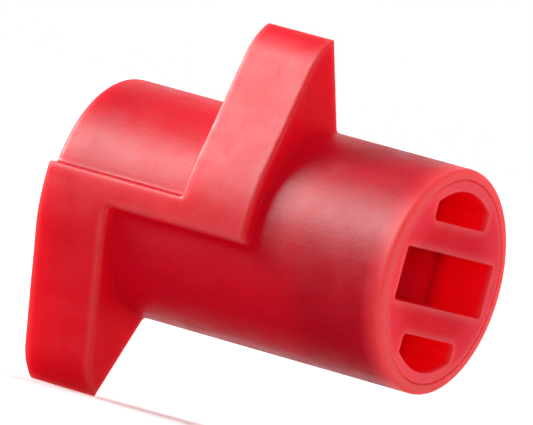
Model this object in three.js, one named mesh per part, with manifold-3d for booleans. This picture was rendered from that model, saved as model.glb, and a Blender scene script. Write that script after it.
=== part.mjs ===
// A drip emitter cartridge: a bayonet sleeve with two claw lugs, closed at its outlet end by a
// quarter-turn plug. Inside, from the outlet to the inlet: seat plate with its seal, floating
// diaphragm, labyrinth core, filter screen and inlet cap.
// Millimetres. The axis of the cylinder is X, from the inlet face at x = 0 to the outlet face.
import * as THREE from "three";
import { mergeVertices } from "three/addons/utils/BufferGeometryUtils.js";
import Module from "manifold-3d";

const wasm = await Module();
wasm.setup();

// Driving dimensions
const RADIUS = 6;
const LENGTH = 21;
const ROUND_SIDES = 96;
const SLIDING_FIT = 0.05; // clearance between two turning or pushed-in pieces, on the radius
const FACE_GAP = 0.05; // clearance between two faces that meet
const OVERCUT = 1; // how far a cutter runs past the surface it opens
const JOIN_OVERLAP = 0.3; // how far two shapes run into each other before they are joined

// Claw lugs and the web that joins them, on the -Y side
const COLLAR_PROUD = 0.65;
const COLLAR_Y = -(RADIUS + COLLAR_PROUD);
const LUG_WIDTH = 4.13;
const LUG_PITCH = 8.4; // from the lower lug to the upper lug, along X
const LUG_STRAIGHT_HEIGHT = 1.6; // where the near face starts to lean
const LUG_LEAN_TOP = { y: -4.3, z: 8.75 };
const LUG_SHOULDER = { y: -3.9, z: 9.95 }; // the corner that the shoulder curve rounds off
const LUG_TIP = { y: -2.8, z: 10.62 };
const LUG_FLANK_FOOT = { y: 0, z: 5.9 };
const WEB_HALF_HEIGHT = 0.75;

// Outlet plug: head, tool slot, outlet windows, skirt and bayonet tabs
const HEAD_RADIUS = 5.4;
const HEAD_LENGTH = 5.35;
const HEAD_EDGE = 0.12;
const SLOT_LENGTH = 9.18;
const SLOT_HEIGHT = 2.88;
const SLOT_DEPTH = 3.45;
const SLOT_CORNER = 0.2;
const WINDOW_CHORD_Z = 2.99;
const WINDOW_RADIUS = 4.82;
const WINDOW_HALF_CHORD = 2.72;
const WINDOW_CORNER = 0.35;
const WINDOW_DEPTH = 4.6;
const SLOT_FLOOR = 0.55; // wall between the slot and the hollow of the skirt
const SKIRT_RADIUS = 4.4;
const SKIRT_BORE = 3.6;
const TAB_RADIUS = 5.15;
const TAB_HALF_ANGLE = 14;
const TAB_LENGTH = 1.15;

// Sleeve bore, from the outlet end to the inlet end
const RIM_EDGE = 0.16;
const REAR_EDGE = 0.22;
const HEAD_POCKET_START = 15.6;
const LEDGE_THICKNESS = 1;
const LEDGE_BORE = 4.6;
const TAB_GROOVE_RADIUS = 5.25;
const TAB_GROOVE_START = 13.2;
const STOP_CLEARANCE_ANGLE = 1;
const LOCKED_ANGLE = 90; // of the first tab, from +Y towards +Z
const TURN_ANGLE = 90; // quarter turn from locked to open
const CORE_BORE = 4.5;
const CORE_STOP = 3.35;
const CORE_STOP_BORE = 3.9;
const SCREEN_SHOULDER = 2.6;
const CAP_POCKET_RADIUS = 5;

// Regulating chamber
const CHAMBER_START = 10.1;
const CHAMBER_LENGTH = 1.1;
const CHAMBER_RADIUS = 4.15;
const DIAPHRAGM_RADIUS = 4.05;
const DIAPHRAGM_THICKNESS = 0.5;
const DIAPHRAGM_EDGE = 0.12;
const SEAT_PLATE_END = 13;
const SEAT_RING_RADIUS = 1.2;
const SEAT_RING_HEIGHT = 0.22;
const SEAT_HOLE_RADIUS = 0.55;
const SEAT_RECESS_RADIUS = 3;
const SEAT_RECESS_DEPTH = 0.6;
const SEAL_SECTION = 0.42;
const SEAL_CLEARANCE = 0.02;
const SEAL_GROOVE_WIDTH = 1;
const SEAL_GROOVE_DEPTH = 0.88;

// Labyrinth core
const CORE_HOLLOW_RADIUS = 2.9;
const CORE_END_WALL = 1.2;
const CHANNEL_DEPTH = 0.75;
const CHANNEL_WIDTH = 1.9;
const CHANNEL_STARTS = [4.35, 7.05];
const CHANNEL_DIVIDER = 0.9; // width of the axial bar that ends each ring of channel
const TEETH_PER_SIDE = 12;
const TOOTH_REACH = 1.15;
const TOOTH_THICKNESS = 0.4;
const PASSAGE_WIDTH = 1;

// Filter screen and inlet cap
const SCREEN_THICKNESS = 0.5;
const SCREEN_FRAME_RADIUS = 3.7;
const MESH_PITCH = 0.92;
const MESH_HOLE = 0.52;
const CAP_THICKNESS = 1.4;
const CAP_HUB_RADIUS = 1.7;
const CAP_WINDOW_RADIUS = 3.9;
const CAP_WINDOWS = 4;
const CAP_SPOKE_ANGLE = 24;
const CAP_EDGE = 0.2;

const headStart = LENGTH - HEAD_LENGTH;
const ledgeStart = HEAD_POCKET_START - LEDGE_THICKNESS;
const skirtBoreEnd = LENGTH - SLOT_DEPTH - SLOT_FLOOR;
const chamberEnd = CHAMBER_START + CHAMBER_LENGTH;
const seatPlateStart = chamberEnd + FACE_GAP;
const screenStart = SCREEN_SHOULDER - FACE_GAP - SCREEN_THICKNESS;

const redPlastic = new THREE.MeshStandardMaterial({ color: 0xc8102a, roughness: 0.42, metalness: 0 });
const corePlastic = new THREE.MeshStandardMaterial({ color: 0x24262a, roughness: 0.5, metalness: 0 });
const palePlastic = new THREE.MeshStandardMaterial({ color: 0xe6e4dc, roughness: 0.5, metalness: 0 });
const silicone = new THREE.MeshStandardMaterial({ color: 0xd9d2c4, roughness: 0.6, metalness: 0 });
const sealRubber = new THREE.MeshStandardMaterial({ color: 0x1b1b1d, roughness: 0.75, metalness: 0 });

function degrees(angle) {
  return THREE.MathUtils.degToRad(angle);
}

// A closed three.js geometry as a manifold-3d solid.
function solidFrom(geometry) {
  const bare = geometry.clone();
  bare.deleteAttribute("normal");
  bare.deleteAttribute("uv");
  const merged = mergeVertices(bare, 1e-4);
  const mesh = new wasm.Mesh({
    numProp: 3,
    vertProperties: merged.attributes.position.array,
    triVerts: new Uint32Array(merged.index.array),
  });
  return new wasm.Manifold(mesh);
}

// A manifold-3d solid as a named three.js mesh.
function namedMesh(name, solid, material) {
  const made = solid.getMesh();
  const geometry = new THREE.BufferGeometry();
  geometry.setAttribute("position", new THREE.BufferAttribute(made.vertProperties, made.numProp));
  geometry.setIndex(new THREE.BufferAttribute(made.triVerts, 1));
  geometry.computeVertexNormals();
  const mesh = new THREE.Mesh(geometry, material);
  mesh.name = name;
  return mesh;
}

// A solid turned about the X axis from [x, radius] points that run from the inlet side to the
// outlet side and start and end on the axis.
function turned(points) {
  const profile = points.map(([x, radius]) => new THREE.Vector2(radius, x));
  const geometry = new THREE.LatheGeometry(profile, ROUND_SIDES);
  return solidFrom(geometry.rotateZ(-Math.PI / 2));
}

// Points of a rounded outer edge for a turned profile. The solid lies on the +X side of the face
// at x = face when inward is 1, and on its -X side when inward is -1.
function roundedEdge(face, radius, size, inward) {
  const steps = 4;
  const points = [];
  for (let i = 0; i <= steps; i += 1) {
    const angle = (i / steps) * (Math.PI / 2);
    const x = face + inward * size * (1 - Math.sin(angle));
    points.push([x, radius - size * (1 - Math.cos(angle))]);
  }
  return inward > 0 ? points.reverse() : points;
}

function rod(start, end, radius) {
  return turned([[start, 0], [start, radius], [end, radius], [end, 0]]);
}

// A solid with a constant outline in the YZ plane, from x = start to x = end.
function slab(shape, start, end, curveSegments = 12) {
  const geometry = new THREE.ExtrudeGeometry(shape, {
    depth: end - start,
    bevelEnabled: false,
    curveSegments,
  });
  const axes = new THREE.Matrix4().makeBasis(
    new THREE.Vector3(0, 1, 0),
    new THREE.Vector3(0, 0, 1),
    new THREE.Vector3(1, 0, 0),
  );
  geometry.applyMatrix4(axes);
  geometry.translate(start, 0, 0);
  return solidFrom(geometry);
}

function block(start, end, yMin, yMax, zMin, zMax) {
  const geometry = new THREE.BoxGeometry(end - start, yMax - yMin, zMax - zMin);
  geometry.translate((start + end) / 2, (yMin + yMax) / 2, (zMin + zMax) / 2);
  return solidFrom(geometry);
}

// A sector of a ring in the YZ plane; angles in degrees from +Y towards +Z.
function ringSector(inner, outer, fromAngle, toAngle) {
  const shape = new THREE.Shape();
  shape.absarc(0, 0, outer, degrees(fromAngle), degrees(toAngle), false);
  shape.absarc(0, 0, inner, degrees(toAngle), degrees(fromAngle), true);
  shape.closePath();
  return shape;
}

function roundedRectangle(width, height, corner) {
  const shape = new THREE.Shape();
  const y = width / 2;
  const z = height / 2;
  shape.moveTo(-y + corner, -z);
  shape.lineTo(y - corner, -z);
  shape.quadraticCurveTo(y, -z, y, -z + corner);
  shape.lineTo(y, z - corner);
  shape.quadraticCurveTo(y, z, y - corner, z);
  shape.lineTo(-y + corner, z);
  shape.quadraticCurveTo(-y, z, -y, z - corner);
  shape.lineTo(-y, -z + corner);
  shape.quadraticCurveTo(-y, -z, -y + corner, -z);
  return shape;
}

// Turns a solid about the X axis.
function turnedBy(solid, angle) {
  return solid.rotate([angle, 0, 0]);
}

// The side view of a lug on the side of positive z: a root at the web, a leaning near face,
// a rounded shoulder, a sharp tip and a straight flank back to the cylinder.
function lugShape() {
  const shape = new THREE.Shape();
  shape.moveTo(COLLAR_Y, -WEB_HALF_HEIGHT);
  shape.lineTo(0, -WEB_HALF_HEIGHT);
  shape.lineTo(LUG_FLANK_FOOT.y, LUG_FLANK_FOOT.z);
  shape.lineTo(LUG_TIP.y, LUG_TIP.z);
  shape.quadraticCurveTo(LUG_SHOULDER.y, LUG_SHOULDER.z, LUG_LEAN_TOP.y, LUG_LEAN_TOP.z);
  shape.lineTo(COLLAR_Y, LUG_STRAIGHT_HEIGHT);
  shape.closePath();
  return shape;
}

function sleeveBore() {
  const front = LENGTH + OVERCUT;
  return turned([
    [-OVERCUT, 0],
    [-OVERCUT, CAP_POCKET_RADIUS],
    [SCREEN_SHOULDER, CAP_POCKET_RADIUS],
    [SCREEN_SHOULDER, CORE_STOP_BORE],
    [CORE_STOP, CORE_STOP_BORE],
    [CORE_STOP, CORE_BORE],
    [TAB_GROOVE_START, CORE_BORE],
    [TAB_GROOVE_START, LEDGE_BORE],
    [HEAD_POCKET_START, LEDGE_BORE],
    [HEAD_POCKET_START, HEAD_RADIUS + SLIDING_FIT],
    [front, HEAD_RADIUS + SLIDING_FIT],
    [front, 0],
  ]);
}

// The groove that the two tabs turn in. Its ends stop the tabs a quarter turn apart, and at the
// open end a notch through the ledge lets each tab out.
function bayonetGroove() {
  const halfTab = TAB_HALF_ANGLE + STOP_CLEARANCE_ANGLE;
  const first = LOCKED_ANGLE - halfTab;
  const last = LOCKED_ANGLE + TURN_ANGLE + halfTab;
  const notchStart = last - 2 * halfTab;
  const inner = LEDGE_BORE - JOIN_OVERLAP;
  const groove = slab(ringSector(inner, TAB_GROOVE_RADIUS, first, last), TAB_GROOVE_START, ledgeStart, 40);
  const notch = slab(
    ringSector(inner, TAB_GROOVE_RADIUS, notchStart, last),
    ledgeStart - JOIN_OVERLAP,
    HEAD_POCKET_START + JOIN_OVERLAP,
  );
  const half = groove.add(notch);
  return half.add(turnedBy(half, 180));
}

function bayonetSleeve() {
  const body = turned([
    [0, 0],
    ...roundedEdge(0, RADIUS, REAR_EDGE, 1),
    ...roundedEdge(LENGTH, RADIUS, RIM_EDGE, -1),
    [LENGTH, 0],
  ]);
  const upperLug = slab(lugShape(), LUG_PITCH, LUG_PITCH + LUG_WIDTH);
  const lowerLug = slab(lugShape(), 0, LUG_WIDTH).mirror([0, 0, 1]);
  const web = block(0, LUG_PITCH + LUG_WIDTH, COLLAR_Y, 0, -WEB_HALF_HEIGHT, WEB_HALF_HEIGHT);
  return body.add(upperLug).add(lowerLug).add(web).subtract(sleeveBore()).subtract(bayonetGroove());
}

// The D-shaped outlet window above the slot.
function windowShape() {
  const shape = new THREE.Shape();
  const endAngle = Math.acos(WINDOW_HALF_CHORD / WINDOW_RADIUS);
  const arcEndZ = WINDOW_RADIUS * Math.sin(endAngle);
  shape.moveTo(-WINDOW_HALF_CHORD + WINDOW_CORNER, WINDOW_CHORD_Z);
  shape.lineTo(WINDOW_HALF_CHORD - WINDOW_CORNER, WINDOW_CHORD_Z);
  shape.quadraticCurveTo(
    WINDOW_HALF_CHORD,
    WINDOW_CHORD_Z,
    WINDOW_HALF_CHORD,
    WINDOW_CHORD_Z + WINDOW_CORNER,
  );
  shape.lineTo(WINDOW_HALF_CHORD, arcEndZ);
  shape.absarc(0, 0, WINDOW_RADIUS, endAngle, Math.PI - endAngle, false);
  shape.lineTo(-WINDOW_HALF_CHORD, WINDOW_CHORD_Z + WINDOW_CORNER);
  shape.quadraticCurveTo(
    -WINDOW_HALF_CHORD,
    WINDOW_CHORD_Z,
    -WINDOW_HALF_CHORD + WINDOW_CORNER,
    WINDOW_CHORD_Z,
  );
  return shape;
}

function outletPlug() {
  const skirtStart = SEAT_PLATE_END + FACE_GAP;
  const body = turned([
    [skirtStart, 0],
    [skirtStart, SKIRT_RADIUS],
    [headStart, SKIRT_RADIUS],
    [headStart, HEAD_RADIUS],
    ...roundedEdge(LENGTH, HEAD_RADIUS, HEAD_EDGE, -1),
    [LENGTH, 0],
  ]);
  const tabStart = ledgeStart - FACE_GAP - TAB_LENGTH;
  const tabShape = ringSector(
    SKIRT_RADIUS - JOIN_OVERLAP,
    TAB_RADIUS,
    LOCKED_ANGLE - TAB_HALF_ANGLE,
    LOCKED_ANGLE + TAB_HALF_ANGLE,
  );
  const tab = slab(tabShape, tabStart, tabStart + TAB_LENGTH);
  const slot = slab(
    roundedRectangle(SLOT_LENGTH, SLOT_HEIGHT, SLOT_CORNER),
    LENGTH - SLOT_DEPTH,
    LENGTH + OVERCUT,
    4,
  );
  const window = slab(windowShape(), LENGTH - WINDOW_DEPTH, LENGTH + OVERCUT, 20);
  const skirtBore = rod(skirtStart - OVERCUT, skirtBoreEnd, SKIRT_BORE);
  return body
    .add(tab)
    .add(turnedBy(tab, 180))
    .subtract(slot)
    .subtract(window)
    .subtract(turnedBy(window, 180))
    .subtract(skirtBore);
}

function seatPlate() {
  const radius = CORE_BORE - SLIDING_FIT;
  const grooveMiddle = (seatPlateStart + SEAT_PLATE_END) / 2;
  const grooveStart = grooveMiddle - SEAL_GROOVE_WIDTH / 2;
  const grooveEnd = grooveMiddle + SEAL_GROOVE_WIDTH / 2;
  const body = turned([
    [seatPlateStart - SEAT_RING_HEIGHT, 0],
    [seatPlateStart - SEAT_RING_HEIGHT, SEAT_RING_RADIUS],
    [seatPlateStart, SEAT_RING_RADIUS],
    [seatPlateStart, radius],
    [grooveStart, radius],
    [grooveStart, radius - SEAL_GROOVE_DEPTH],
    [grooveEnd, radius - SEAL_GROOVE_DEPTH],
    [grooveEnd, radius],
    [SEAT_PLATE_END, radius],
    [SEAT_PLATE_END, SEAT_RECESS_RADIUS],
    [SEAT_PLATE_END - SEAT_RECESS_DEPTH, SEAT_RECESS_RADIUS],
    [SEAT_PLATE_END - SEAT_RECESS_DEPTH, 0],
  ]);
  const hole = rod(chamberEnd - OVERCUT, LENGTH, SEAT_HOLE_RADIUS);
  return body.subtract(hole);
}

function seatSeal() {
  const middle = (seatPlateStart + SEAT_PLATE_END) / 2;
  const ringRadius = CORE_BORE - SEAL_CLEARANCE - SEAL_SECTION;
  const geometry = new THREE.TorusGeometry(ringRadius, SEAL_SECTION, 16, ROUND_SIDES);
  geometry.rotateY(Math.PI / 2);
  geometry.translate(middle, 0, 0);
  return solidFrom(geometry);
}

function diaphragm() {
  const start = CHAMBER_START + FACE_GAP;
  const end = start + DIAPHRAGM_THICKNESS;
  return turned([
    [start, 0],
    ...roundedEdge(start, DIAPHRAGM_RADIUS, DIAPHRAGM_EDGE, 1),
    ...roundedEdge(end, DIAPHRAGM_RADIUS, DIAPHRAGM_EDGE, -1),
    [end, 0],
  ]);
}

// One ring of channel round the core, with teeth that reach in from its two sides by turns.
function channelRing(start) {
  const outer = CORE_BORE;
  const floor = CORE_BORE - CHANNEL_DEPTH;
  const end = start + CHANNEL_WIDTH;
  let ring = rod(start, end, outer).subtract(rod(start - OVERCUT, end + OVERCUT, floor));
  const halfBar = CHANNEL_DIVIDER / 2;
  ring = ring.subtract(block(start - OVERCUT, end + OVERCUT, -halfBar, halfBar, 0, outer + OVERCUT));
  const teeth = 2 * TEETH_PER_SIDE;
  for (let i = 0; i < teeth; i += 1) {
    const fromStart = i % 2 === 0;
    const toothStart = fromStart ? start - OVERCUT : end - TOOTH_REACH;
    const toothEnd = fromStart ? start + TOOTH_REACH : end + OVERCUT;
    const half = TOOTH_THICKNESS / 2;
    const tooth = block(toothStart, toothEnd, -half, half, 0, outer + OVERCUT);
    ring = ring.subtract(turnedBy(tooth, (360 * (i + 1)) / (teeth + 1)));
  }
  return ring;
}

function labyrinthCore() {
  const radius = CORE_BORE - SLIDING_FIT;
  const start = CORE_STOP + FACE_GAP;
  const body = turned([
    [start, 0],
    [start, radius],
    [chamberEnd, radius],
    [chamberEnd, CHAMBER_RADIUS],
    [CHAMBER_START, CHAMBER_RADIUS],
    [CHAMBER_START, 0],
  ]);
  const hollow = rod(start - OVERCUT, CHAMBER_START - CORE_END_WALL, CORE_HOLLOW_RADIUS);
  const [firstRing, secondRing] = CHANNEL_STARTS;
  const floor = CORE_BORE - CHANNEL_DEPTH;
  const outer = CORE_BORE + OVERCUT;
  const firstSide = CHANNEL_DIVIDER / 2;
  const passage = (from, to, yMin) => block(from, to, yMin, yMin + PASSAGE_WIDTH, floor, outer);
  const inlet = passage(start - OVERCUT, firstRing + CHANNEL_WIDTH / 2, firstSide);
  const crossing = passage(firstRing, secondRing + CHANNEL_WIDTH, -firstSide - PASSAGE_WIDTH);
  const outlet = passage(secondRing + CHANNEL_WIDTH / 2, chamberEnd + OVERCUT, firstSide);
  return body
    .subtract(hollow)
    .subtract(channelRing(firstRing))
    .subtract(channelRing(secondRing))
    .subtract(inlet)
    .subtract(crossing)
    .subtract(outlet);
}

function filterScreen() {
  const radius = CAP_POCKET_RADIUS - SLIDING_FIT;
  const end = screenStart + SCREEN_THICKNESS;
  let screen = rod(screenStart, end, radius);
  const reach = Math.floor(SCREEN_FRAME_RADIUS / MESH_PITCH);
  for (let column = -reach; column <= reach; column += 1) {
    for (let row = -reach; row <= reach; row += 1) {
      const y = column * MESH_PITCH;
      const z = row * MESH_PITCH;
      if (Math.hypot(y, z) > SCREEN_FRAME_RADIUS - MESH_HOLE / 2) continue;
      const half = MESH_HOLE / 2;
      const hole = block(screenStart - OVERCUT, end + OVERCUT, y - half, y + half, z - half, z + half);
      screen = screen.subtract(hole);
    }
  }
  return screen;
}

function inletCap() {
  const radius = CAP_POCKET_RADIUS - SLIDING_FIT;
  const end = screenStart - FACE_GAP;
  let cap = turned([
    [0, 0],
    ...roundedEdge(0, radius, CAP_EDGE, 1),
    [end, radius],
    [end, CAP_WINDOW_RADIUS],
    [CAP_THICKNESS, CAP_WINDOW_RADIUS],
    [CAP_THICKNESS, 0],
  ]);
  const step = 360 / CAP_WINDOWS;
  const halfSpoke = CAP_SPOKE_ANGLE / 2;
  const window = slab(
    ringSector(CAP_HUB_RADIUS, CAP_WINDOW_RADIUS, halfSpoke, step - halfSpoke),
    -OVERCUT,
    CAP_THICKNESS + OVERCUT,
  );
  for (let i = 0; i < CAP_WINDOWS; i += 1) {
    cap = cap.subtract(turnedBy(window, i * step));
  }
  return cap;
}

const emitter = new THREE.Group();
emitter.name = "drip_emitter";
emitter.add(namedMesh("bayonet_sleeve", bayonetSleeve(), redPlastic));
emitter.add(namedMesh("outlet_plug", outletPlug(), redPlastic));
emitter.add(namedMesh("seat_plate", seatPlate(), palePlastic));
emitter.add(namedMesh("seat_seal", seatSeal(), sealRubber));
emitter.add(namedMesh("diaphragm", diaphragm(), silicone));
emitter.add(namedMesh("labyrinth_core", labyrinthCore(), corePlastic));
emitter.add(namedMesh("filter_screen", filterScreen(), palePlastic));
emitter.add(namedMesh("inlet_cap", inletCap(), redPlastic));

export default emitter;
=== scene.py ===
# The looks of the drip emitter: the sleeve rebuilt with moulded edges, softened edges on the other
# pieces, translucent red plastic, and a plain studio. Metres, in the frame of the CAD model.
import math

import bmesh
import bpy
from mathutils import Matrix, Vector


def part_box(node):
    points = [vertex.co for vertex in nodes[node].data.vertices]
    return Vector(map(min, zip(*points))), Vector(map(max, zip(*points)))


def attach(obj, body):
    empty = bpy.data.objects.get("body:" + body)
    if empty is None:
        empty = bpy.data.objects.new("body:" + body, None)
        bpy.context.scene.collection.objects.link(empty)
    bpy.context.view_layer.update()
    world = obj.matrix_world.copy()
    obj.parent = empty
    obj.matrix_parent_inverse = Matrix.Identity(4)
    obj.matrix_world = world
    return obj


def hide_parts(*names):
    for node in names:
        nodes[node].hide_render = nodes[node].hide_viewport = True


MM = 0.001

# Camera: a long lens, nearly level, turned towards the outlet end and tilted about its own axis
CAMERA_AZIMUTH = 30.805
CAMERA_ELEVATION = 0.811
CAMERA_ROLL = 15.08
CAMERA_LENS = 675.4
CAMERA_PLACE = Vector((276.144, -447.049, 8.388)) * MM

# Studio: the floor looks white and bounces as much light as a grey table
FLOOR_SEEN = (0.92, 0.92, 0.92)
FLOOR_BOUNCE = (0.6, 0.6, 0.6)
FLOOR_GLOW = 0.3

FLOOR_RADIUS = 4

# The room's brightness: for reflections there is a white sheet behind the object and dark elsewhere
SHEET_DIRECTION = (-0.51, 0.86, 0.0)
SHEET_EDGE = (0.6, 0.9)  # cosines between which the room turns into the sheet
SHEET_LIGHT = 1.0
ROOM_GLOSS = 0.0
ROOM_LIGHT = 0.25

# Lamps: the direction each one shines from, the angle it fills in degrees, and its strength
KEY_LAMP = ((-0.85, -0.3, 0.44), 20, 2.8)
FILL_LAMP = ((0.75, -0.65, 0.05), 40, 0.85)
GLOSS_LAMP = ((-0.78, -0.44, 0.46), 28, 4.8)
BACK_LAMP = ((0.1, 0.98, 0.15), 40, 2.0)
TOP_LAMP = ((0.0, 0.2, 0.98), 40, 0.95)

# Plastics
EDGE_WIDTH = 0.5 * MM
FLOW_SCALE = 260
CLOUD_SCALE = 900
SPECKLE_SCALE = 10000
FLOW_BUMP = (0.35, 0.07 * MM)  # strength and distance of each bump
CLOUD_BUMP = (0.3, 0.03 * MM)
SPECKLE_BUMP = (0.45, 0.02 * MM)
PLASTIC_IOR = 1.49

# Painted light: a small emission, fixed by place, that stands in for the light the red's thin walls
# carry into the head's recesses and onto its face and the sleeve's rim
RECESS_GLOW = 0.25
RECESS_GLOW_COLOUR = (1, 0, 0)
FACE_GLOW = 0.08
RING_GLOW = 0.24
RIM_GLOW = 0.3
RIM_GLOW_REACH = 1.3 * MM
FACE_GLOW_COLOUR = (1, 0.1, 0.14)
RIM_GLOW_COLOUR = (1, 0.12, 0.12)

# Sleeve
REMESH_VOXEL = 0.075
SMOOTH_ROUNDS = 12
KEPT_FACES = 0.38
LUG_BEND_HEIGHT = 1.6
LUG_LEAN = 2.35 / 7.15  # how far each lug's near face leans back for each millimetre outward
LUG_BEND_REACH = 1.4
LUG_BEND_DEPTH = 0.6
BORE_MARGIN = 0.3  # the filling rod and the bore cutter reach this far past the plug's head
MOUTH_LENGTH = 1  # of the bore cutter's narrower ends, on either side of an end face
ROUND_SIDES = 96
SHARP_ANGLE = 38

# Other pieces
SLOT_DEPTH = 3.45 * MM  # as in the CAD model
WELD_REACH = 0.001 * MM
FLAT_ANGLE = 0.8
BEVEL_ANGLE = 35
BEVEL_WIDTHS = {
    "outlet_plug": 0.08 * MM,
    "inlet_cap": 0.08 * MM,
    "seat_plate": 0.05 * MM,
    "labyrinth_core": 0.04 * MM,
    "filter_screen": 0.02 * MM,
    "diaphragm": 0.05 * MM,
    "seat_seal": 0.05 * MM,
}


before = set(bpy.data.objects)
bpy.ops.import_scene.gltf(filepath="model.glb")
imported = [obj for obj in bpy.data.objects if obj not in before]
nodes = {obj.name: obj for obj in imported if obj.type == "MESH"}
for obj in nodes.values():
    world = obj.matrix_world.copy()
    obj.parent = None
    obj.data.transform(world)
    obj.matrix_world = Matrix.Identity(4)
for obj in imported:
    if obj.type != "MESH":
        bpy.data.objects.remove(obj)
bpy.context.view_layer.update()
sleeve_low, sleeve_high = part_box("bayonet_sleeve")
plug_low, plug_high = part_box("outlet_plug")
LENGTH = sleeve_high.x
HEAD_RADIUS = plug_high.y
FLOOR_Z = sleeve_low.z


# Materials

def new_material(name):
    material = bpy.data.materials.new(name)
    material.use_nodes = True
    return material, material.node_tree.nodes, material.node_tree.links


def noise(tree_nodes, tree_links, scale, detail, roughness=0.5):
    """Noise in the object's own metres; returns the node."""
    place = tree_nodes.new("ShaderNodeTexCoord")
    texture = tree_nodes.new("ShaderNodeTexNoise")
    texture.inputs["Scale"].default_value = scale
    texture.inputs["Detail"].default_value = detail
    texture.inputs["Roughness"].default_value = roughness
    tree_links.new(place.outputs["Object"], texture.inputs["Vector"])
    return texture


def mapped(tree_nodes, tree_links, value, low, high, from_low=0.3, from_high=0.7):
    """The value remapped from one range to another; returns the output socket."""
    remap = tree_nodes.new("ShaderNodeMapRange")
    remap.inputs["From Min"].default_value = from_low
    remap.inputs["From Max"].default_value = from_high
    remap.inputs["To Min"].default_value = low
    remap.inputs["To Max"].default_value = high
    tree_links.new(value, remap.inputs["Value"])
    return remap.outputs["Result"]


def mixed_colours(tree_nodes, tree_links, factor, first, second):
    mix = tree_nodes.new("ShaderNodeMix")
    mix.data_type = "RGBA"
    tree_links.new(factor, mix.inputs["Factor"])
    for socket, colour in ((mix.inputs[6], first), (mix.inputs[7], second)):
        if hasattr(colour, "is_linked"):
            tree_links.new(colour, socket)
        else:
            socket.default_value = (*colour, 1)
    return mix.outputs[2]


def bumped(tree_nodes, tree_links, height, strength, distance, under=None):
    """A bump of the height, in metres, over another bump; returns the node."""
    bump = tree_nodes.new("ShaderNodeBump")
    bump.inputs["Strength"].default_value = strength
    bump.inputs["Distance"].default_value = distance
    tree_links.new(height, bump.inputs["Height"])
    if under is not None:
        tree_links.new(under.outputs["Normal"], bump.inputs["Normal"])
    return bump


def painted_edge_glow(tree_nodes, tree_links):
    """The mask of a painted highlight on edges: 1 at an outer edge and 0 further than EDGE_WIDTH from
    one, by the skin that is near inside.
    """
    inside = tree_nodes.new("ShaderNodeAmbientOcclusion")
    inside.inside = True
    inside.only_local = True
    inside.samples = 8
    inside.inputs["Distance"].default_value = EDGE_WIDTH
    return mapped(tree_nodes, tree_links, inside.outputs["AO"], 1, 0, 0.55, 0.98)


def moulded_plastic(
    name, base, pale, deep, edge, roughness, gloss, subsurface, radius, scale, grain=1.0
):
    """A moulded plastic with flow shading, a fine grain, cloudy gloss and edges painted paler, a painted
    highlight for light glowing through them.
    """
    material, tree_nodes, tree_links = new_material(name)
    shader = tree_nodes["Principled BSDF"]
    flow = noise(tree_nodes, tree_links, FLOW_SCALE, 3)
    cloud = noise(tree_nodes, tree_links, CLOUD_SCALE, 4, 0.6)
    speckle = noise(tree_nodes, tree_links, SPECKLE_SCALE, 2)
    flow_part = mapped(tree_nodes, tree_links, flow.outputs["Fac"], 0, 1)
    body = mixed_colours(tree_nodes, tree_links, flow_part, base, deep)
    speckles = speckle.outputs["Fac"]
    speckle_part = mapped(tree_nodes, tree_links, speckles, 0, 0.9 * grain, 0.4, 0.7)
    grainy = mixed_colours(tree_nodes, tree_links, speckle_part, body, pale)
    # Painted highlight: the edge colour, paler, towards each outer edge
    edge_glow = painted_edge_glow(tree_nodes, tree_links)
    coloured = mixed_colours(tree_nodes, tree_links, edge_glow, grainy, edge)
    tree_links.new(coloured, shader.inputs["Base Color"])
    clouds = cloud.outputs["Fac"]
    rough = mapped(tree_nodes, tree_links, clouds, roughness - 0.07, roughness + 0.1)
    tree_links.new(rough, shader.inputs["Roughness"])
    shader.inputs["Subsurface Weight"].default_value = subsurface
    shader.inputs["Subsurface Radius"].default_value = radius
    shader.inputs["Subsurface Scale"].default_value = scale
    shader.inputs["IOR"].default_value = PLASTIC_IOR
    shader.inputs["Specular IOR Level"].default_value = gloss
    bump = None
    for height, (strength, distance) in (
        (flow.outputs["Fac"], FLOW_BUMP),
        (clouds, CLOUD_BUMP),
        (speckles, SPECKLE_BUMP),
    ):
        bump = bumped(tree_nodes, tree_links, height, strength * grain, distance, bump)
    tree_links.new(bump.outputs["Normal"], shader.inputs["Normal"])
    return material


def red_plastic():
    """A translucent red, which passes red light and stops the rest near its skin."""
    return moulded_plastic(
        "red_plastic",
        base=(0.96, 0.0005, 0.02),
        pale=(0.98, 0.012, 0.035),
        deep=(0.9, 0.0002, 0.016),
        # edge: the colour of the painted highlight on edges
        edge=(0.98, 0.1, 0.11),
        roughness=0.45,
        gloss=0.7,
        subsurface=1.0,
        radius=(1.0, 0.03, 0.03),
        scale=0.003,
    )


def surface_place(material):
    """The place of the piece's surface, in metres: a node with the sockets X, Y and Z."""
    tree_nodes = material.node_tree.nodes
    place = tree_nodes.new("ShaderNodeTexCoord")
    parts = tree_nodes.new("ShaderNodeSeparateXYZ")
    material.node_tree.links.new(place.outputs["Object"], parts.inputs["Vector"])
    return parts


def from_axis(material, parts):
    """The distance of the piece's surface from the cylinder's axis, in metres, as a socket."""
    tree_nodes = material.node_tree.nodes
    tree_links = material.node_tree.links
    across = tree_nodes.new("ShaderNodeCombineXYZ")
    tree_links.new(parts.outputs["Y"], across.inputs["Y"])
    tree_links.new(parts.outputs["Z"], across.inputs["Z"])
    out = tree_nodes.new("ShaderNodeVectorMath")
    out.operation = "LENGTH"
    tree_links.new(across.outputs["Vector"], out.inputs[0])
    return out.outputs["Value"]


def multiplied(material, values):
    """The product of some value sockets, as a socket."""
    product = values[0]
    for value in values[1:]:
        times = material.node_tree.nodes.new("ShaderNodeMath")
        times.operation = "MULTIPLY"
        material.node_tree.links.new(product, times.inputs[0])
        material.node_tree.links.new(value, times.inputs[1])
        product = times.outputs["Value"]
    return product


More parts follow.
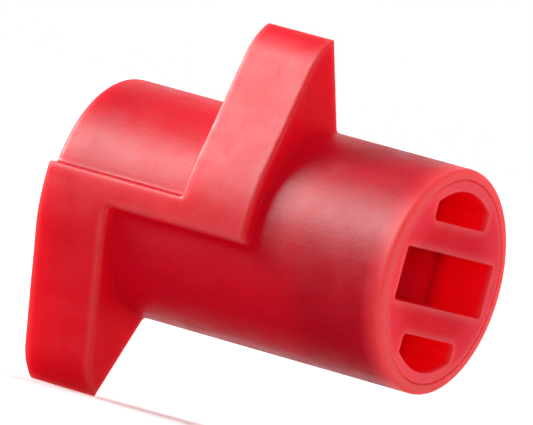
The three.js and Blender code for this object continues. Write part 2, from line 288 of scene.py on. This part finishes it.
def added(material, first, second):
    """The sum of two value sockets, as a socket."""
    total = material.node_tree.nodes.new("ShaderNodeMath")
    total.operation = "ADD"
    material.node_tree.links.new(first, total.inputs[0])
    material.node_tree.links.new(second, total.inputs[1])
    return total.outputs["Value"]


def add_glow(material, colour, strength):
    """The strength is a socket; the colour is a constant or a socket."""
    shader = material.node_tree.nodes["Principled BSDF"]
    if hasattr(colour, "is_linked"):
        material.node_tree.links.new(colour, shader.inputs["Emission Color"])
    else:
        shader.inputs["Emission Color"].default_value = (*colour, 1)
    material.node_tree.links.new(strength, shader.inputs["Emission Strength"])


def plug_red_plastic():
    """The red, with painted light in the head's slot and windows and on its face: an emission fixed by
    place, brighter towards the face's ring.
    """
    material = red_plastic()
    material.name = "plug_red_plastic"
    tree = (material.node_tree.nodes, material.node_tree.links)
    parts = surface_place(material)
    radius = from_axis(material, parts)
    x = parts.outputs["X"]
    slot_floor = LENGTH - SLOT_DEPTH
    # Painted light on the recess walls, standing in for what the head's thin walls carry
    above_floor = mapped(*tree, x, 0, 1, slot_floor + 0.05 * MM, slot_floor + 0.8 * MM)
    below_face = mapped(*tree, x, 1, 0, LENGTH - 0.5 * MM, LENGTH - 0.05 * MM)
    near_wall = mapped(*tree, radius, 0, RECESS_GLOW, HEAD_RADIUS * 0.55, HEAD_RADIUS * 0.85)
    inside_head = mapped(*tree, radius, 1, 0, HEAD_RADIUS * 0.93, HEAD_RADIUS * 0.96)
    recess = multiplied(material, [above_floor, below_face, near_wall, inside_head])
    # Painted sheen on the face, brighter towards its outer ring
    on_face = mapped(*tree, x, 0, 1, LENGTH - 0.15 * MM, LENGTH - 0.02 * MM)
    full = FACE_GLOW + RING_GLOW
    ring = mapped(*tree, radius, FACE_GLOW, full, HEAD_RADIUS * 0.6, HEAD_RADIUS * 0.98)
    face = multiplied(material, [on_face, ring])
    colour = mixed_colours(*tree, on_face, RECESS_GLOW_COLOUR, FACE_GLOW_COLOUR)
    add_glow(material, colour, added(material, recess, face))
    return material


def sleeve_red_plastic():
    """The red, with painted light at its outlet rim: an emission fixed by place that stands in for the
    light the sleeve's wall carries there.
    """
    material = red_plastic()
    material.name = "sleeve_red_plastic"
    tree = (material.node_tree.nodes, material.node_tree.links)
    parts = surface_place(material)
    rim = mapped(*tree, parts.outputs["X"], 0, RIM_GLOW, LENGTH - RIM_GLOW_REACH, LENGTH)
    outside = mapped(*tree, from_axis(material, parts), 0, 1, HEAD_RADIUS, HEAD_RADIUS + 0.1 * MM)
    add_glow(material, RIM_GLOW_COLOUR, multiplied(material, [rim, outside]))
    return material


def pale_plastic():
    return moulded_plastic(
        "pale_plastic",
        base=(0.86, 0.84, 0.78),
        pale=(0.91, 0.9, 0.86),
        deep=(0.8, 0.77, 0.69),
        edge=(0.9, 0.89, 0.85),
        roughness=0.42,
        gloss=0.5,
        subsurface=0.6,
        radius=(1.0, 0.8, 0.6),
        scale=0.001,
    )


def dark_plastic():
    return moulded_plastic(
        "dark_plastic",
        base=(0.055, 0.055, 0.064),
        pale=(0.09, 0.09, 0.1),
        deep=(0.04, 0.04, 0.046),
        edge=(0.1, 0.1, 0.11),
        roughness=0.48,
        gloss=0.5,
        subsurface=0.0,
        radius=(1.0, 1.0, 1.0),
        scale=0.0001,
    )


def silicone():
    return moulded_plastic(
        "silicone",
        base=(0.78, 0.73, 0.66),
        pale=(0.86, 0.82, 0.76),
        deep=(0.7, 0.65, 0.57),
        edge=(0.87, 0.84, 0.79),
        roughness=0.55,
        gloss=0.45,
        subsurface=0.8,
        radius=(1.0, 0.9, 0.8),
        scale=0.0008,
        grain=0.5,
    )


def seal_rubber():
    return moulded_plastic(
        "seal_rubber",
        base=(0.03, 0.03, 0.032),
        pale=(0.075, 0.075, 0.08),
        deep=(0.018, 0.018, 0.019),
        edge=(0.06, 0.06, 0.063),
        roughness=0.62,
        gloss=0.4,
        subsurface=0.0,
        radius=(1.0, 1.0, 1.0),
        scale=0.0001,
        grain=0.7,
    )


def floor_material():
    material, tree_nodes, tree_links = new_material("studio_floor")
    shader = tree_nodes["Principled BSDF"]
    shader.inputs["Roughness"].default_value = 0.9
    shader.inputs["Specular IOR Level"].default_value = 0
    path = tree_nodes.new("ShaderNodeLightPath")
    seen = mixed_colours(tree_nodes, tree_links, path.outputs["Is Camera Ray"], FLOOR_BOUNCE, FLOOR_SEEN)
    tree_links.new(seen, shader.inputs["Base Color"])
    glow = mapped(tree_nodes, tree_links, path.outputs["Is Camera Ray"], 0, FLOOR_GLOW, 0, 1)
    shader.inputs["Emission Color"].default_value = (1, 1, 1, 1)
    tree_links.new(glow, shader.inputs["Emission Strength"])
    return material


# Mesh helpers, in millimetres until a piece is finished

def node_copy(node, name):
    """A copy of a CAD node's mesh, welded, in millimetres."""
    mesh = nodes[node].data.copy()
    mesh.name = name
    mesh.transform(Matrix.Scale(1 / MM, 4))
    work = bmesh.new()
    work.from_mesh(mesh)
    bmesh.ops.remove_doubles(work, verts=work.verts, dist=0.0005)
    work.to_mesh(mesh)
    work.free()
    piece = bpy.data.objects.new(name, mesh)
    bpy.context.scene.collection.objects.link(piece)
    return piece


def turned(name, points, sides=ROUND_SIDES):
    """A closed solid turned about X from (x, radius) points that start and end on the axis."""
    work = bmesh.new()
    rings = []
    for x, radius in points:
        if radius == 0:
            rings.append([work.verts.new((x, 0, 0))] * sides)
            continue
        ring = []
        for side in range(sides):
            angle = 2 * math.pi * side / sides
            ring.append(work.verts.new((x, radius * math.cos(angle), radius * math.sin(angle))))
        rings.append(ring)
    for first, second in zip(rings, rings[1:]):
        for side in range(sides):
            after = (side + 1) % sides
            corners = [first[side], first[after], second[after], second[side]]
            face = list(dict.fromkeys(corners))
            work.faces.new(face)
    bmesh.ops.recalc_face_normals(work, faces=work.faces)
    mesh = bpy.data.meshes.new(name)
    work.to_mesh(mesh)
    work.free()
    piece = bpy.data.objects.new(name, mesh)
    bpy.context.scene.collection.objects.link(piece)
    return piece


def applied(piece):
    """Bakes the piece's modifiers into its mesh."""
    graph = bpy.context.evaluated_depsgraph_get()
    made = bpy.data.meshes.new_from_object(piece.evaluated_get(graph))
    piece.modifiers.clear()
    piece.data = made
    return piece


def combined(piece, other, operation):
    """The piece joined or cut by another by an exact boolean, which uses the other up."""
    modifier = piece.modifiers.new("combine", "BOOLEAN")
    modifier.operation = operation
    modifier.object = other
    modifier.solver = "EXACT"
    applied(piece)
    bpy.data.objects.remove(other)
    return piece


def to_metres(piece):
    piece.data.transform(Matrix.Scale(MM, 4))
    return piece


def smooth_by_angle(mesh, angle):
    mesh.shade_smooth()
    mesh.set_sharp_from_angle(angle=math.radians(angle))


# The sleeve: its outer skin is remeshed so that every edge and inner corner is rounded as a mould
# leaves it, and then the CAD bore is cut back in.

def joined_mesh(piece, other):
    """Adds another piece's faces to the piece's mesh, which uses the other up."""
    work = bmesh.new()
    work.from_mesh(piece.data)
    work.from_mesh(other.data)
    work.to_mesh(piece.data)
    work.free()
    bpy.data.objects.remove(other)
    return piece


def mouth_radius(mesh, end):
    """The radius of the bore's mouth in the end face at x = end, in millimetres."""
    rims = [Vector((v.co.y, v.co.z)).length for v in mesh.vertices if abs(v.co.x - end) < 0.01]
    return min(rims)


def bore_cutter():
    """The bore's shape, no wider than the bore's mouths where it leaves the sleeve."""
    shape = node_copy("bayonet_sleeve", "bore_shape")
    far = LENGTH / MM
    wide = HEAD_RADIUS / MM + BORE_MARGIN
    inlet_mouth = mouth_radius(shape.data, 0)
    outlet_mouth = mouth_radius(shape.data, far)
    profile = [
        (-MOUTH_LENGTH, 0),
        (-MOUTH_LENGTH, inlet_mouth),
        (MOUTH_LENGTH, inlet_mouth),
        (MOUTH_LENGTH, wide),
        (far - MOUTH_LENGTH, wide),
        (far - MOUTH_LENGTH, outlet_mouth),
        (far + MOUTH_LENGTH, outlet_mouth),
        (far + MOUTH_LENGTH, 0),
    ]
    return combined(turned("bore_rod", profile), shape, "DIFFERENCE")


def soften_lug_bend(mesh):
    """Turns the bend in each lug's near face, where it starts to lean, into an arc."""
    near = sleeve_low.y / MM
    for vertex in mesh.vertices:
        place = vertex.co
        from_bend = abs(place.z) - LUG_BEND_HEIGHT
        face = near + LUG_LEAN * max(from_bend, 0)
        depth = (place.y - face) / LUG_BEND_DEPTH
        if depth > 1 or abs(from_bend) > LUG_BEND_REACH:
            continue
        share = (1 - abs(from_bend) / LUG_BEND_REACH) ** 2
        place.y += LUG_LEAN * LUG_BEND_REACH / 4 * share * (1 - max(depth, 0))


def sleeve_moulding():
    """The sleeve's final mesh, which replaces its CAD node."""
    piece = node_copy("bayonet_sleeve", "sleeve_moulding")
    far = LENGTH / MM
    radius = HEAD_RADIUS / MM + BORE_MARGIN
    joined_mesh(piece, turned("filling", [(0, 0), (0, radius), (far, radius), (far, 0)]))
    remesh = piece.modifiers.new("remesh", "REMESH")
    remesh.mode = "VOXEL"
    remesh.voxel_size = REMESH_VOXEL
    applied(piece)
    soften_lug_bend(piece.data)
    soften = piece.modifiers.new("soften", "SMOOTH")
    soften.factor = 0.5
    soften.iterations = SMOOTH_ROUNDS
    thin = piece.modifiers.new("thin", "DECIMATE")
    thin.ratio = KEPT_FACES
    applied(piece)
    combined(piece, bore_cutter(), "DIFFERENCE")
    smooth_by_angle(piece.data, SHARP_ANGLE)
    to_metres(piece)
    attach(piece, "sleeve_body")
    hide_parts("bayonet_sleeve")
    return piece


def soften_node(node, width):
    """Rounded edges on a CAD node, by modifiers, which leave its mesh as it is."""
    piece = nodes[node]
    weld = piece.modifiers.new("weld", "WELD")
    weld.merge_threshold = WELD_REACH
    flatten = piece.modifiers.new("flatten", "DECIMATE")
    flatten.decimate_type = "DISSOLVE"
    flatten.angle_limit = math.radians(FLAT_ANGLE)
    bevel = piece.modifiers.new("bevel", "BEVEL")
    bevel.width = width
    bevel.segments = 3
    bevel.limit_method = "ANGLE"
    bevel.angle_limit = math.radians(BEVEL_ANGLE)
    bevel.harden_normals = True
    bevel.use_clamp_overlap = True


def dress(piece, material):
    piece.data.materials.clear()
    piece.data.materials.append(material)


def dress_node(node, material):
    for slot in nodes[node].material_slots:
        slot.material = material


# Studio

def make_camera():
    data = bpy.data.cameras.new("camera")
    data.lens = CAMERA_LENS
    data.sensor_width = 36
    data.clip_start = 0.05
    data.clip_end = 20
    camera = bpy.data.objects.new("camera", data)
    azimuth = math.radians(CAMERA_AZIMUTH)
    elevation = math.radians(CAMERA_ELEVATION)
    forward = Vector((
        -math.sin(azimuth) * math.cos(elevation),
        math.cos(azimuth) * math.cos(elevation),
        -math.sin(elevation),
    ))
    level = forward.to_track_quat("-Z", "Y")
    roll = Matrix.Rotation(math.radians(CAMERA_ROLL), 4, "Z")
    camera.matrix_world = Matrix.Translation(CAMERA_PLACE) @ level.to_matrix().to_4x4() @ roll
    bpy.context.scene.collection.objects.link(camera)
    bpy.context.scene.camera = camera


def distant_light(name, lamp, gloss=False):
    """A far, large lamp, which shows in reflections only if gloss is set."""
    direction, angle, strength = lamp
    data = bpy.data.lights.new(name, "SUN")
    data.energy = strength
    data.angle = math.radians(angle)
    light = bpy.data.objects.new(name, data)
    light.rotation_mode = "QUATERNION"
    light.rotation_quaternion = (-Vector(direction)).to_track_quat("-Z", "Y")
    light.visible_glossy = gloss
    bpy.context.scene.collection.objects.link(light)
    return light


def strength_towards(tree_nodes, tree_links, place, direction, edge, inside, outside):
    """A strength that goes from outside to inside between the edge's two cosines of a direction."""
    facing = tree_nodes.new("ShaderNodeVectorMath")
    facing.operation = "DOT_PRODUCT"
    facing.inputs[1].default_value = Vector(direction).normalized()
    tree_links.new(place.outputs["Generated"], facing.inputs[0])
    return mapped(tree_nodes, tree_links, facing.outputs["Value"], outside, inside, *edge)


def make_backdrop():
    """An evenly lit room with a white sheet behind the object, which the camera sees as pure white."""
    world = bpy.data.worlds.new("studio")
    world.use_nodes = True
    tree_nodes = world.node_tree.nodes
    tree_links = world.node_tree.links
    place = tree_nodes.new("ShaderNodeTexCoord")
    path = tree_nodes.new("ShaderNodeLightPath")
    sheet = strength_towards(
        tree_nodes, tree_links, place, SHEET_DIRECTION, SHEET_EDGE, SHEET_LIGHT, ROOM_GLOSS
    )
    gloss = tree_nodes.new("ShaderNodeMix")
    gloss.inputs["A"].default_value = ROOM_LIGHT
    tree_links.new(path.outputs["Is Glossy Ray"], gloss.inputs["Factor"])
    tree_links.new(sheet, gloss.inputs["B"])
    seen = tree_nodes.new("ShaderNodeMix")
    seen.inputs["B"].default_value = 1
    tree_links.new(path.outputs["Is Camera Ray"], seen.inputs["Factor"])
    tree_links.new(gloss.outputs["Result"], seen.inputs["A"])
    background = tree_nodes["Background"]
    background.inputs["Color"].default_value = (1, 1, 1, 1)
    tree_links.new(seen.outputs["Result"], background.inputs["Strength"])
    bpy.context.scene.world = world
    bpy.context.scene.view_settings.view_transform = "Standard"


def make_lights():
    distant_light("key", KEY_LAMP)
    distant_light("fill", FILL_LAMP)
    card = distant_light("gloss_card", GLOSS_LAMP, gloss=True)
    card.visible_diffuse = False
    distant_light("back", BACK_LAMP)
    distant_light("top", TOP_LAMP)


def make_floor():
    work = bmesh.new()
    bmesh.ops.create_circle(work, cap_ends=True, segments=ROUND_SIDES, radius=FLOOR_RADIUS)
    mesh = bpy.data.meshes.new("studio_floor")
    work.to_mesh(mesh)
    work.free()
    floor = bpy.data.objects.new("studio_floor", mesh)
    floor.location = (LENGTH / 2, 0, FLOOR_Z)
    floor.visible_glossy = False
    bpy.context.scene.collection.objects.link(floor)
    dress(floor, floor_material())


make_camera()
red = red_plastic()
sleeve = sleeve_moulding()
dress(sleeve, sleeve_red_plastic())
for node, material in (
    ("outlet_plug", plug_red_plastic()),
    ("inlet_cap", red),
    ("seat_plate", pale_plastic()),
    ("labyrinth_core", dark_plastic()),
    ("filter_screen", pale_plastic()),
    ("diaphragm", silicone()),
    ("seat_seal", seal_rubber()),
):
    soften_node(node, BEVEL_WIDTHS[node])
    dress_node(node, material)
make_floor()
make_backdrop()
make_lights()
